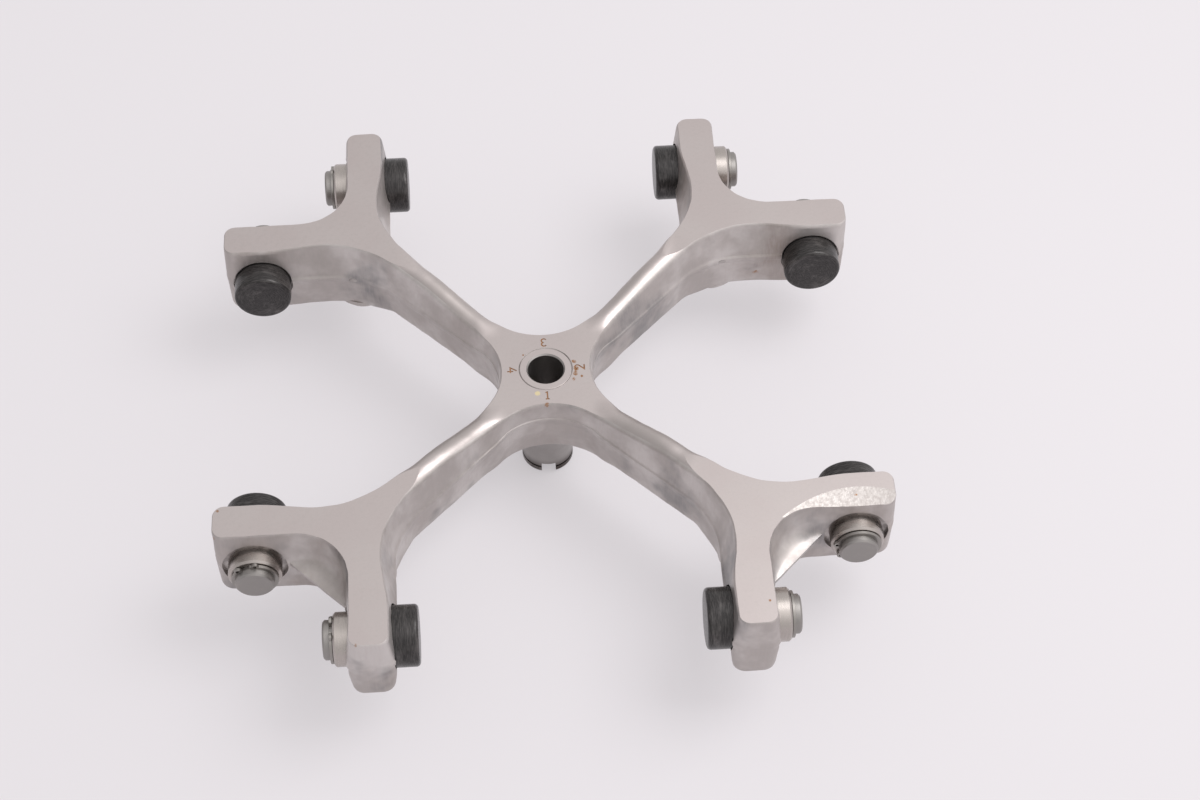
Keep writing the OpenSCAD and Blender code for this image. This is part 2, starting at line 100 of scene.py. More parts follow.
@named
class YokeSizes(bpy.types.PropertyGroup):
    pin_radius: length("From the spin axis to the pins' axes", -CORNER_PIN[1] / MM)
    prong_middle: length("From a bay's middle to a prong's middle", -CORNER_PIN[0] / MM)
    tip_reach: length("From the spin axis to the flat end of a prong", 133)
    web_reach: length("From the spin axis to the straight edge of a web", 132.5)
    prong_height: length("From the underside to the fork pads", 36.4)
    parting_depth: length("Parting plane below the fork pads", 17)
    bay_half: length("Pad width from a prong's middle to its bay edge", 7.8)
    fork_half: length("Pad width from a prong's middle to its fork edge", 7.5)
    arm_half: length("Half width of an arm between its crests", 4.9)
    hub_pad: length("From the spin axis to the hub's edge between two arms", 18.4)
    bay_curve: length("Radius from an arm into a prong", 33)
    fork_curve: length("Radius between the two prongs of a fork", 21)
    tip_corner: length("Corner radius of a prong's end, in plan", 4.5)
    tip_sweep: length("Lower corner radius of a prong's end", 4)
    waist: length("How far the pad draws in beside the pin", 2.6)
    arm_draft: length("How far an arm stands out at the parting plane", 1.6)
    prong_draft: length("How far a prong stands out at the parting plane", 2.3)
    tip_draft: length("How far a tip stands out at the parting plane", 0.55)
    hub_draft: length("How far the hub stands out at the parting plane", 0.9)
    under_draft: length("How far the lower wall draws in", 1.2)
    hub_tuck: length("How far the hub's wall draws in below its crease", 2)
    hub_crease: length("Depth of that crease below the parting land", 6.4)
    hub_drop: length("How far the hub hangs below the forks", 0.6)
    hub_edge: length("Edge radius round the hub's underside", 1.6)
    land: length("Thickness of the parting land and of the web's edge", 1.6)
    flash: length("What is left of the trimmed flash", 0.4)
    edge: length("Edge radius of the forging", 3)
    fork_edge: length("Edge radius between the prongs", 2.2)
    under_edge: length("Edge radius round the underside", 3.2)
    stock: length("Metal faced off the pads", 1)
    crown: length("How far the tops are crowned", 1.2)
    arm_step: length("How far an arm's crest stays below the pads", 0.15)
    arm_arch: length("How far an arm's underside arches up", 2)
    web_fillet: length("Height of the scoop over the web", 7)
    bore: length("Radius of the bush bores", 10.52)
    spotface: length("Radius of the seat behind a pin's head", 12.6)
    spotface_at: length("From the prong's middle to that seat", 8)
    counterbore: length("Radius of the relief round a bush", 12.8)
    counterbore_at: length("From the prong's middle to its floor", 7)
    hub_bore: length("Radius of the bore for the drive tube", 10.82)
    boss: length("Radius of the balance bosses", 10)
    wave: length("Unevenness of the hand-dressed walls", 0.1)
    numeral: length("Height of the stamped bay numbers", 3.9)
    numeral_depth: length("Depth of the stamped bay numbers", 0.25)
    numeral_width: length("Width of a stroke of those numbers", 0.6)
    numeral_radius: length("From the spin axis to a bay number", 13.9)
    relief_width: length("How far one pad is ground back beside its pin", 8.2)
    relief_slope: angle("How steeply the relief falls away", 11)
    wheel: length("Radius of the wheel that ground the relief", 200)
    test_ball: length("Radius of the ball that tested the hardness", 2.6)
    test_depth: length("Depth of its two marks", 0.5)
    test_place: length("From the middle plane to a mark", 80)
    test_height: length("Height of the marks", 46.5)
    shoulder: angle("How far the edge radius turns before the crown", 55)


@named
class PinSizes(bpy.types.PropertyGroup):
    head: length("Radius of a pin's head", 12)
    head_from: length("From the prong's middle to the head", 8.2)
    head_to: length("From the prong's middle to the head's face", 18.8)
    head_edge: length("Edge radius of the head's face", 1.6)
    dome: length("How far the head's face is domed", 0.25)
    shank: length("Radius of the shank", 7.7)
    tail: length("From the prong's middle to the shank's end", 18.1)
    tail_chamfer: length("Chamfer at the shank's end", 0.7)
    groove_from: length("From the prong's middle to the ring groove", 14.17)
    groove_width: length("Width of the ring groove", 1.26)
    groove_depth: length("Depth of the ring groove", 0.6)


@named
class BushSizes(bpy.types.PropertyGroup):
    outer: length("Outer radius of a bush", 10.5)
    inner: length("Radius of a bush's bore", 7.75)
    end: length("From the prong's middle to the bush's outer end", 14)
    seat: length("From the prong's middle to the bush's inner end", 8)
    chamfer: length("Chamfer at the bush's outer end", 0.8)


@named
class RingSizes(bpy.types.PropertyGroup):
    inner: length("Inner radius of a retaining ring", 7.13)
    outer: length("Outer radius of a retaining ring", 9.3)
    near: length("From the prong's middle to the ring", 14.2)
    thickness: length("Thickness of a retaining ring", 1.2)
    ear: length("Radius of the two ears beside the gap", 1.4)
    ear_hole: length("Radius of the plier holes in the ears", 0.62)
    edge: length("Edge break of the stamped ring", 0.12)
    gap: angle("Angle from the gap's middle to an ear", 26)


@named
class TubeSizes(bpy.types.PropertyGroup):
    outer: length("Outer radius of the drive tube", 10.8)
    bore: length("Radius of the tube's bore", 7.4)
    lip: length("Outer chamfer at the tube's top", 0.25)
    mouth: length("Chamfer of the bore at the top", 0.6)
    foot: length("Outer chamfer at the tube's foot", 1.1)
    snap_at: length("From the foot to the snap groove", 3.2)
    snap_width: length("Width of the snap groove", 1)
    snap_depth: length("Depth of the snap groove", 0.5)
    slot_width: length("Width of the drive slots", 6)
    slot_height: length("Height of the drive slots", 6)


@named
class Finishes(bpy.types.PropertyGroup):
    skin: colour("Shot-blasted walls of the forging", (0.43, 0.395, 0.38))
    skin_light: colour("Lighter patches of the walls", (0.58, 0.545, 0.53))
    stain: colour("Blue-grey stains in the skin", (0.22, 0.215, 0.22))
    tarnish: colour("Brown tarnish in the skin", (0.26, 0.205, 0.175))
    faced: colour("Machined pads", (0.53, 0.475, 0.465))
    bored: colour("Bores, seats and reliefs", (0.46, 0.43, 0.415))
    rust: colour("Rust in the stamped numbers and nicks", (0.32, 0.165, 0.08))
    paint: colour("A speck of old paint beside number 1", (0.72, 0.62, 0.40))
    black: colour("Pin heads", (0.026, 0.024, 0.024))
    burnished: colour("Rubbed places of the pin heads", (0.235, 0.217, 0.213))
    ground: colour("Shanks of the pins", (0.31, 0.295, 0.285))
    plated: colour("Bushes", (0.46, 0.42, 0.395))
    spring: colour("Retaining rings", (0.3, 0.285, 0.27))
    tube: colour("Drive tube", (0.36, 0.34, 0.33))
    # This dark tone also darkens the drive tube towards its foot, in patches.
    grime: colour("Dark grease in grooves and at the foot", (0.07, 0.055, 0.05))


# Surfaces, worked out as whole arrays

def smooth(t):
    """Eases from 0 to 1: three t squared less two t cubed."""
    t = np.clip(t, 0, 1)
    return t * t * (3 - 2 * t)


def mix(a, b, t):
    """The value t of the way from a to b."""
    return a + (b - a) * t


def ray(degrees):
    """Unit vectors at these angles, as rows."""
    turn = np.radians(degrees)
    return np.stack([np.cos(turn), np.sin(turn)], -1)


def arc(mid, radius, start, end, steps, facing):
    """Points at equal angles on an arc, and the unit direction out of the metal at each."""
    spokes = ray(np.linspace(start, end, steps + 1))
    return np.array(mid) + radius * spokes, facing * spokes


class Outline:
    """One eighth of the yoke in plan: half the hub, half an arm along 45 degrees, one prong.

    Arcs and straight runs joined end to end. Each point has the direction that faces out of
    the metal, and the point of the middle line that its section closes to.
    """

    HUB, ARM, BEND, SIDE, REACH, TIP = 14, 30, 9, 18, 12, 8

    def __init__(self, s):
        root = math.sqrt(2)
        m = s.prong_middle
        self.bay_edge = m - s.bay_half
        self.fork_edge = m + s.fork_half
        hub_curve = (s.hub_pad / root - s.arm_half) / (1 - 1 / root)
        hub_x = s.hub_pad + hub_curve
        bend_y = self.bay_edge - s.bay_curve
        bend_x = (s.bay_curve + s.arm_half) * root + bend_y
        self.fork_mid = self.fork_edge + s.fork_curve
        self.bend_x = bend_x
        self.arm_start = hub_x / root
        self.arm_end = (bend_x + bend_y) / root
        self.fork_node = m * root
        self.web_line = s.web_reach * root
        hub, hub_out = arc((hub_x, 0), hub_curve, 180, 135, self.HUB, -1)
        bend, bend_out = arc((bend_x, bend_y), s.bay_curve, 135, 112.5, self.BEND, -1)
        fork, fork_out = arc((self.fork_mid,) * 2, s.fork_curve, 270, 225, self.SIDE, -1)
        run = np.linspace(0, 1, self.ARM + 1)[1:-1, None]
        arm = mix(hub[-1], bend[0], run)
        arm_out = np.repeat(bend_out[:1], len(arm), 0)
        along = np.linspace(m, self.fork_mid, self.SIDE + 1)
        beyond = np.linspace(self.fork_mid, s.tip_reach - s.fork_half, self.REACH + 1)[1:]
        stations = np.concatenate([along, beyond])
        bay_x = np.concatenate([np.linspace(bend[-1, 0], self.fork_mid, self.SIDE + 1)[1:], beyond])
        drop = np.maximum(0, bend_x - bay_x)
        rise = np.sqrt(s.bay_curve ** 2 - drop ** 2)
        bay = np.stack([bay_x, bend_y + rise], 1)
        bay_out = np.stack([drop, -rise], 1) / s.bay_curve
        corner_x = s.tip_reach - s.tip_corner
        near, near_out = arc((corner_x, self.bay_edge + s.tip_corner), s.tip_corner,
                             -90, 0, self.TIP, 1)
        far, far_out = arc((corner_x, self.fork_edge - s.tip_corner), s.tip_corner,
                           0, 90, self.TIP, 1)
        back = np.stack([beyond[::-1], np.full(len(beyond), self.fork_edge)], 1)
        back_out = np.repeat([[0.0, 1.0]], len(back), 0)
        self.points = np.concatenate([hub, arm, bend, bay, near, far, back, fork])
        self.out = np.concatenate([hub_out, arm_out, bend_out, bay_out, near_out, far_out,
                                   back_out, fork_out])
        diagonal = np.concatenate([
            np.linspace(0, self.arm_start, self.HUB + 1),
            mix(self.arm_start, self.arm_end, run[:, 0]),
            np.linspace(self.arm_end, self.fork_node, self.BEND + 1),
        ])
        on_prong = np.concatenate([stations[1:], np.full(2 * self.TIP + 2, stations[-1]),
                                   stations[::-1]])
        self.spine = np.concatenate([
            np.stack([diagonal, diagonal], 1) / root,
            np.stack([on_prong, np.full(len(on_prong), m)], 1),
        ])
        count = len(self.points)
        self.tip = count - len(stations) - 2 * self.TIP - 2
        self.back = count - len(stations)
        self.along = np.minimum(self.fork_node, np.hypot(*self.spine.T))
        place = np.arange(count)
        self.at_tip = (place >= self.tip) & (place < self.back)
        self.fork_side = place >= self.back
        self.webbed = place >= count - self.SIDE - 1
        step = (count - 1 - place) / self.SIDE
        self.web_step = np.where(self.webbed, step, 0)


# Steps of the rings: up the walls from the parting land, and from the shoulder in to the middle
LOWER_STEPS = [0, 0.03, 0.06, 0.1, 0.15, 0.22, 0.3, 0.36, 0.42, 0.5, 0.6, 0.7, 0.8, 0.9]
UPPER_STEPS = [0, 0.03, 0.06, 0.1, 0.15, 0.22, 0.3, 0.4, 0.5, 0.6, 0.7, 0.8, 0.9, 1]
CROWN_STEPS = [0.08, 0.18, 0.3, 0.44, 0.6, 0.8, 1]

# How the section changes along the eighth: lengths of the blends, and shares of a run
HUB_BLEND = 12 * MM         # the hub's section into the arm's
PAD_BLEND = 14 * MM         # the arm's crest into the fork pad
DRAFT_BLEND = 10 * MM       # the arm's draft into the prong's
ARCH_BLEND = 20 * MM        # the arched underside into the fork's
PAD_START = 0.77            # of the straight arm, where the fork pad begins
WAIST_PLACE = 0.2           # of the way from the bend to the pin, where the pad is narrowest
WAIST_SPAN = 0.75           # of that way, how far the narrowing reaches
LEAST_CORNER = 0.4 * MM     # what is left of a tip's corner radius where it draws in
UNDER_CURVE = 1.6           # power by which the lower wall draws in
TRIM = 12                   # the flash fades over one in so many of a wall's height


def forging_rings(s):
    """The forging as rings of points, from the middle of the underside up to the middle of the top.

    A point of a ring is the outline moved out along its direction by the draft at that height,
    less what the edge radius takes off, and drawn in to the middle line on the top and bottom.
    Between the prongs a ring swells by a quarter ellipse to the straight edge of the web. The
    eighth is mirrored and turned four times.
    """
    o = Outline(s)
    top = YOKE_TOP
    parting = top - s.parting_depth
    under = top - s.prong_height
    pad_start = mix(o.arm_start, o.arm_end, PAD_START)
    hub = 1 - smooth((o.along - o.arm_start + HUB_BLEND / 2) / HUB_BLEND)
    fork = smooth((o.along - pad_start) / PAD_BLEND)
    radius = np.where(o.fork_side, s.fork_edge, s.edge)
    last_turn = mix(s.shoulder, np.arcsin((s.edge - s.stock) / s.edge), hub)
    faced_out = radius - np.sqrt(radius ** 2 - (radius - s.stock) ** 2)
    ease_out = faced_out * fork + radius * (1 - np.cos(last_turn)) * hub
    climb = smooth((o.along - o.arm_start) / (pad_start - o.arm_start))
    faced_rim = top + s.stock - radius * (1 - np.sin(last_turn))
    arm_rim = mix(HUB_TOP, top - s.crown - s.arm_step, climb)
    rim = mix(arm_rim, faced_rim, fork)
    ridge = mix(arm_rim + s.crown * (1 - hub), top + s.stock + s.crown, fork)
    stand = mix(s.arm_draft, s.prong_draft, smooth((o.along - o.arm_end) / DRAFT_BLEND))
    stand = mix(stand, s.hub_draft, hub)
    arch = smooth((o.along - o.arm_start) / HUB_BLEND) * smooth((o.fork_node - o.along) / ARCH_BLEND)
    base = under - s.hub_drop * hub + s.arm_arch * arch
    floor_edge = mix(s.under_edge, s.hub_edge, hub)
    waist_at = mix(o.bend_x, s.pin_radius, WAIST_PLACE)
    waist_span = WAIST_SPAN * (s.pin_radius - o.bend_x)
    before_tip = np.arange(len(o.points)) < o.tip
    waist = s.waist * before_tip * smooth(1 - np.abs(o.points[:, 0] - waist_at) / waist_span)
    web_end = o.fork_edge + stand
    web_edge = mix(np.full((1, 2), o.web_line / 2),
                   np.stack([o.web_line - web_end, web_end], 1), o.web_step[:, None])
    stretch = s.tip_reach - o.fork_mid

    def level(z, off, web, drawn, sweep, inward):
        off = np.where(o.at_tip, np.maximum(off, LEAST_CORNER - s.tip_corner), off)
        ahead = np.where(o.at_tip & (off > 0), s.tip_draft / s.prong_draft, 1)
        p = o.points + o.out * off[:, None] * np.stack([ahead, np.ones_like(ahead)], 1)
        p[:, 1] += waist * drawn
        p = np.where(o.webbed[:, None], mix(p, web_edge, web), p)
        p = mix(p, o.spine, inward)
        p[:, 0] -= sweep * np.maximum(0, (p[:, 0] - o.fork_mid) / stretch)
        return np.concatenate([p, z[:, None]], 1)

    def scoop(height):
        """Share of the web at a height: one less a quarter ellipse as tall as the fillet."""
        left = np.clip(1 - height / s.web_fillet, 0, 1)
        return (1 - np.sqrt(1 - left ** 2))[:, None]

    half_land = np.full(len(o.points), s.land / 2)
    rings = []
    foot = parting - half_land
    floor = base + floor_edge

    def lower(down, turn, inward):
        wall = mix(foot, floor, down)
        z = wall - floor_edge * math.sin(turn)
        below = np.maximum(0, foot - wall - s.hub_crease) / (foot - floor - s.hub_crease)
        tuck = mix(s.under_draft * down ** UNDER_CURVE, s.hub_tuck * below, hub)
        off = stand - s.flash * smooth(down * TRIM) - tuck - floor_edge * (1 - math.cos(turn))
        dip = np.clip(under + s.tip_sweep - z, 0, s.tip_sweep)
        sweep = s.tip_sweep - np.sqrt(s.tip_sweep ** 2 - dip ** 2)
        return level(z, off, scoop(foot - wall), down / 2, sweep, inward)

    for inward in np.linspace(1, 0, 6)[:-1]:
        rings.append(lower(1, math.pi / 2, inward))
    for turn in np.linspace(math.pi / 2, 0, 8):
        rings.append(lower(1, turn, 0))
    for down in reversed(LOWER_STEPS):
        rings.append(lower(down, 0, 0))

    shoulder = rim - radius * np.sin(last_turn)
    land_top = parting + half_land

    def upper(up, turn, inward):
        swing = radius * (1 - np.cos(turn * last_turn))
        wall = mix(land_top, shoulder, up)
        z = wall + radius * np.sin(turn * last_turn)
        off = mix(stand, ease_out, up) - s.flash * smooth(up * TRIM) - swing
        lift = (ridge - rim) * (1 - (1 - inward) ** 2)
        return level(z + lift, off, scoop(wall - land_top), up, 0, inward)

    for up in UPPER_STEPS:
        rings.append(upper(up, 0, 0))
    for turn in np.linspace(0, 1, 9)[1:]:
        rings.append(upper(1, turn, 0))
    for inward in CROWN_STEPS:
        rings.append(upper(1, 1, inward))
    return whole_rings(np.stack(rings))


def whole_rings(eighth):
    """The eighth and its mirror image across 45 degrees, turned by 0, 90, 180 and 270 degrees."""
    mirrored = eighth[:, :0:-1][..., [1, 0, 2]]
    quarter = np.concatenate([eighth[:, :-1], mirrored], 1)
    x, y, z = np.moveaxis(quarter, -1, 0)
    turns = [(x, y), (-y, x), (-x, -y), (y, -x)]
    return np.concatenate([np.stack([a, b, z], -1) for a, b in turns], 1)


def directions_out(rings):
    """Unit directions out of the metal: the cross product of the steps along and across the rings."""
    across = np.roll(rings, -1, 1) - np.roll(rings, 1, 1)
    along = np.gradient(rings, axis=0)
    out = np.cross(across, along)
    out[0], out[-1] = (0, 0, -1), (0, 0, 1)     # the two middle lines, where both sides meet
    return out / np.maximum(np.linalg.norm(out, axis=-1, keepdims=True), 1e-12)


def waves(points, longest, shortest, count, seed):
    """A smooth uneven field about 0: a sum of sine waves that run in seeded directions."""
    draw = np.random.default_rng(seed)
    way = draw.normal(size=(count, 3))
    way /= np.linalg.norm(way, axis=1, keepdims=True)
    turn = 2 * math.pi / np.geomspace(longest, shortest, count)[:, None]
    phase = draw.uniform(0, 2 * math.pi, count)
    return np.sin(points @ (way * turn).T + phase).mean(-1) * math.sqrt(2 * count) / 2


def dressed(rings, s):
    """The rings with hand-dressed walls: moved along their outward directions by a smooth uneven
    field that dies out on the flat hub pad."""
    x, y, z = np.moveaxis(rings, -1, 0)
    off_pad = np.maximum(smooth((np.hypot(x, y) - 26 * MM) / (8 * MM)), smooth((HUB_TOP - z) / MM))
    field = waves(rings, 45 * MM, 6 * MM, 14, 7) + 0.4 * waves(rings, 6 * MM, 3 * MM, 8, 9)
    return rings + directions_out(rings) * (s.wave * field * off_pad)[..., None]


def revolved(profile, around):
    """A profile of (radius, height) points carried round the Z axis: r cos a, r sin a, h."""
    spokes = ray(np.arange(around) * 360 / around)
    r, h = np.array(profile).T
    flat = r[:, None, None] * spokes[None]
    return np.concatenate([flat, np.broadcast_to(h[:, None, None], flat[..., :1].shape)], -1)


def quads(rows, columns, closed=False):
    """Corners of the faces of a grid whose columns close on themselves, and its rows if closed."""
    last = rows if closed else rows - 1
    row, column = np.meshgrid(np.arange(last), np.arange(columns), indexing="ij")
    beside = (column + 1) % columns
    above = (row + 1) % rows
    return np.stack([row * columns + column, row * columns + beside,
                     above * columns + beside, above * columns + column], -1).reshape(-1, 4).tolist()


@contextlib.contextmanager
def edited(mesh):
    """The mesh opened for editing, and written back at the end of the block."""
    work = bmesh.new()
    work.from_mesh(mesh)
    yield work
    work.to_mesh(mesh)
    work.free()


def mesh_from(name, points, faces, uv=None):
    """A welded mesh with its faces outwards. uv holds one pair for each corner of each face."""
    mesh = bpy.data.meshes.new(name)
    mesh.from_pydata(points.reshape(-1, 3).tolist(), [], faces)
    if uv is not None:
        layer = mesh.uv_layers.new(name="turning")
        layer.data.foreach_set("uv", uv.astype(np.float32).ravel())
    with edited(mesh) as work:
        bmesh.ops.remove_doubles(work, verts=work.verts, dist=0.001 * MM)
        bmesh.ops.recalc_face_normals(work, faces=work.faces)
    return mesh


AROUND = 128        # steps round a turned piece
MAP_SCALE = 10      # of a turned piece's map along its profile, for each metre


def turned_mesh(name, profile, around=AROUND, closed=False):
    """Mesh of a revolved profile. Its map runs once round in u, and along the profile in v."""
    grid = revolved(profile, around)
    rows = len(grid)
    faces = quads(rows, around, closed)
    steps = np.linalg.norm(np.diff(np.array(profile), axis=0), axis=1)
    run = np.concatenate([[0], np.cumsum(steps)])
    last = rows if closed else rows - 1
    u = np.arange(around) / around
    u = np.stack([u, u + 1 / around, u + 1 / around, u], 1)
    v = np.append(run, run[-1] + np.linalg.norm(np.subtract(profile[0], profile[-1]))) * MAP_SCALE
    v = np.stack([v[:last], v[:last], v[1:last + 1], v[1:last + 1]], 1)
    uv = np.stack(np.broadcast_arrays(u[None], v[:, None]), -1)
    return mesh_from(name, grid, faces, uv.reshape(-1, 2))


def joined(parts):
    """One mesh from several pairs of points and faces, each face with its own material number."""
    mesh = bpy.data.meshes.new("joined")
    with edited(mesh) as work:
        for part, place, index in parts:
            start = len(work.faces)
            copy = part.copy()
            copy.transform(place)
            work.from_mesh(copy)
            bpy.data.meshes.remove(copy)
            work.faces.ensure_lookup_table()
            for face in work.faces[start:]:
                face.material_index = index
    return mesh


def dress(mesh, materials):
    """Gives a mesh its materials, if it has none yet; its faces keep their numbers."""
    if not mesh.materials:
        for material in materials:
            mesh.materials.append(material)


def placed(name, data):
    """A new object in the scene, which shows a mesh or holds a lamp or a camera."""
    obj = bpy.data.objects.new(name, data)
    bpy.context.scene.collection.objects.link(obj)
    return obj


def piece(name, mesh, materials, body, slot, *nodes):
    """A shown object of a mesh: finished, named, riding on its body and standing for its nodes."""
    mesh.name = name
    dress(mesh, materials)
    obj = placed(name, mesh)
    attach(obj, body)
    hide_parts(*nodes)
    return obj


def carve(mesh, other, operation, materials):
    """The mesh with another one cut from it or joined to it, each new face in its own material."""
    dress(mesh, materials)
    dress(other, materials)
    target = placed("work", mesh)
    tool = placed("tool", other)
    boolean = target.modifiers.new("Carve", "BOOLEAN")
    boolean.operation = operation
    boolean.solver = "EXACT"
    boolean.material_mode = "INDEX"
    boolean.object = tool
    depsgraph = bpy.context.evaluated_depsgraph_get()
    result = bpy.data.meshes.new_from_object(target.evaluated_get(depsgraph))
    bpy.data.objects.remove(target)
    bpy.data.objects.remove(tool)
    return result


# Past so many degrees an edge stays sharp: on turned pieces, on the forging, between two materials
SHARP, FORGED_SHARP, BORDER_SHARP = 30, 24, 10


def soften(mesh, angle=SHARP):
    """Shades a mesh smooth, but sharp past an angle, which is less where two materials meet."""
    with edited(mesh) as work:
        for edge in work.edges:
            kinds = {face.material_index for face in edge.link_faces}
            limit = angle if len(kinds) == 1 else BORDER_SHARP
            edge.smooth = edge.calc_face_angle(0) < math.radians(limit)
        for face in work.faces:
            face.smooth = True
    return mesh


def trunnion_place(body):
    """Place of a pin's own axes: Z runs from the fork into the bay, X points up."""
    joint = JOINTS[body]
    z = Vector(joint["axis"])
    x = Vector((0, 0, 1))
    y = z.cross(x)
    turn = Matrix((x, y, z)).transposed().to_4x4()
    return Matrix.Translation(joint["pos_m"]) @ turn


def pin_names():
    """The eight trunnions, as bay and side."""
    return [body.removeprefix("pin_") for body in sorted(JOINTS)]


def fit(kind, node, name, mesh, materials, body, slot):
    """Brings a turned piece to one trunnion and shows it there."""
    mesh.transform(trunnion_place("pin_" + name))
    soften(mesh)
    piece(kind + name, mesh, materials, body, slot, node + name)


# Finishes

class Nodes:
    """Short ways to add nodes to a tree and to link them."""

    def __init__(self, tree):
        self.tree = tree
        self.coords = tree.nodes.new("ShaderNodeTexCoord")

    def set(self, socket, value):
        if isinstance(value, bpy.types.NodeSocket):
            self.tree.links.new(value, socket)
        else:
            socket.default_value = value

    def add(self, kind, inputs, output=0, **settings):
        """One output of a new node with these settings and inputs."""
        node = self.tree.nodes.new("ShaderNode" + kind)
        for key, value in settings.items():
            setattr(node, key, value)
        for key, value in inputs.items():
            self.set(node.inputs[key], value)
        return node.outputs[output]

    def math(self, operation, a, b=0.0, clamp=False):
        return self.add("Math", {0: a, 1: b}, operation=operation, use_clamp=clamp)

    def vector(self, operation, a, b):
        return self.add("VectorMath", {0: a, 1: b}, "Value", operation=operation)

    def span(self, value, low, high, to_low=0.0, to_high=1.0, kind="SMOOTHSTEP"):
        """The value's place between two limits, eased and mapped on two others."""
        limits = {0: value, 1: low, 2: high, 3: to_low, 4: to_high}
        return self.add("MapRange", limits, "Result", interpolation_type=kind)


class Finish(Nodes):
    """A material being made, whose patterns read object coordinates."""

    def __init__(self, name, **shader):
        self.material = bpy.data.materials.new(name)
        self.material.use_nodes = True
        super().__init__(self.material.node_tree)
        self.shader = self.tree.nodes["Principled BSDF"].inputs
        for socket, value in shader.items():
            self.shader[socket].default_value = value

    def noise(self, scale, detail=3, roughness=0.5, finer=(1, 1, 1), move=(0, 0, 0), source="Object"):
        """A cloudy pattern, so many to a metre, that can be finer along an axis or moved."""
        coords = self.coords.outputs[source]
        place = self.add("Mapping", {"Vector": coords, "Scale": finer, "Location": move})
        return self.add("TexNoise", {"Vector": place, "Scale": scale, "Detail": detail,
                                     "Roughness": roughness}, "Fac")

    def blend(self, factor, a, b):
        """One colour turning into another."""
        a, b = (c if isinstance(c, bpy.types.NodeSocket) else (*c, 1) for c in (a, b))
        return self.add("Mix", {0: factor, 6: a, 7: b}, 2, data_type="RGBA")

    def over(self, colour, other, pattern, low, high, share=1.0):
        """A colour with another one laid over it where a pattern rises from one level to another."""
        return self.blend(self.span(pattern, low, high, 0, share), colour, other)

    def near(self, spot, inner, outer):
        """1 within one distance of a point in the object, falling to 0 at another."""
        away = self.vector("DISTANCE", self.coords.outputs["Object"], spot)
        return self.span(away, inner, outer, 1, 0)

    def axis(self, name):
        return self.add("SeparateXYZ", {0: self.coords.outputs["Object"]}, name)

    def bump(self, *layers):
        """Relief from pairs of a pattern and its height in metres, one over the other."""
        below = {}
        for pattern, height in layers:
            layer = {"Height": pattern, "Strength": 1, "Distance": height, **below}
            below = {"Normal": self.add("Bump", layer, "Normal")}
        self.set(self.shader["Normal"], below["Normal"])

    def done(self, colour, roughness):
        self.set(self.shader["Base Color"], colour)
        self.set(self.shader["Roughness"], roughness)
        return self.material


# Where the steel has rusted or is stained: a point in millimetres, and how far it reaches
RUST_SPOTS = [
    ((-0.5, -18.8, 57.0), 1.9), ((-0.3, -20.6, 55.6), 1.7), ((-7.4, -22.4, 56.2), 2.2),
    ((-4.0, -21.0, 56.4), 1.5), ((11.8, 3.2, 57.3), 1.6), ((12.4, -0.6, 57.3), 1.9),
    ((12.0, -3.4, 57.3), 1.7), ((11.2, -6.2, 57.3), 1.4), ((14.6, -4.8, 57.3), 1.1),
    ((-8.9, 7.8, 57.3), 0.7), ((-131.0, -68.0, 63.8), 1.2), ((-132.5, -79.0, 62.0), 1.6),
    ((117.2, -76.2, 64.0), 1.3), ((-77.9, -132.4, 63.8), 1.2), ((95.0, 64.0, 36.0), 3.0),
    ((78.0, -123.0, 63.8), 1.1), ((112.5, 65.0, 34.0), 2.6),
]


def rusted(make, colour, tint):
    """A colour with rust in its spots, broken up by fine noise."""
    ragged = make.noise(900, 3, 0.7)
    total = 0.0
    for spot, reach in RUST_SPOTS:
        place = tuple(c * MM for c in spot)
        total = make.math("ADD", total, make.near(place, 0.2 * reach * MM, 1.3 * reach * MM))
    cover = make.span(make.math("MULTIPLY", total, ragged), 0.3, 0.55)
    return make.blend(cover, colour, tint)


def forged_skin(look):
    """Shot-blasted, hand-dressed wall: cloudy patches, blue-grey stains, upright belt marks."""
    make = Finish("forged_skin", Metallic=0.8)
    cloud = make.noise(42, 4, 0.6)
    stain = make.noise(24, 4, 0.62, move=(0.31, 0.07, 0.13))
    marks = make.noise(1100, 2, 0.6, finer=(1, 1, 0.07))
    grain = make.noise(2600, 2, 0.5)
    colour = make.over(look.skin, look.skin_light, cloud, 0.4, 0.66)
    tarnish = make.noise(15, 5, 0.65, move=(0.13, 0.41, 0.2))
    colour = make.over(colour, look.stain, stain, 0.52, 0.7, 0.85)
    colour = make.over(colour, look.tarnish, tarnish, 0.5, 0.72, 0.6)
    colour = make.over(colour, look.faced, marks, 0.35, 0.75, 0.3)
    rough = make.math("ADD", make.span(cloud, 0.3, 0.7, 0.42, 0.34), make.span(marks, 0.2, 0.8, 0, 0.1))
    make.bump((marks, 0.02 * MM), (grain, 0.012 * MM))
    return make.done(rusted(make, colour, look.rust), rough)


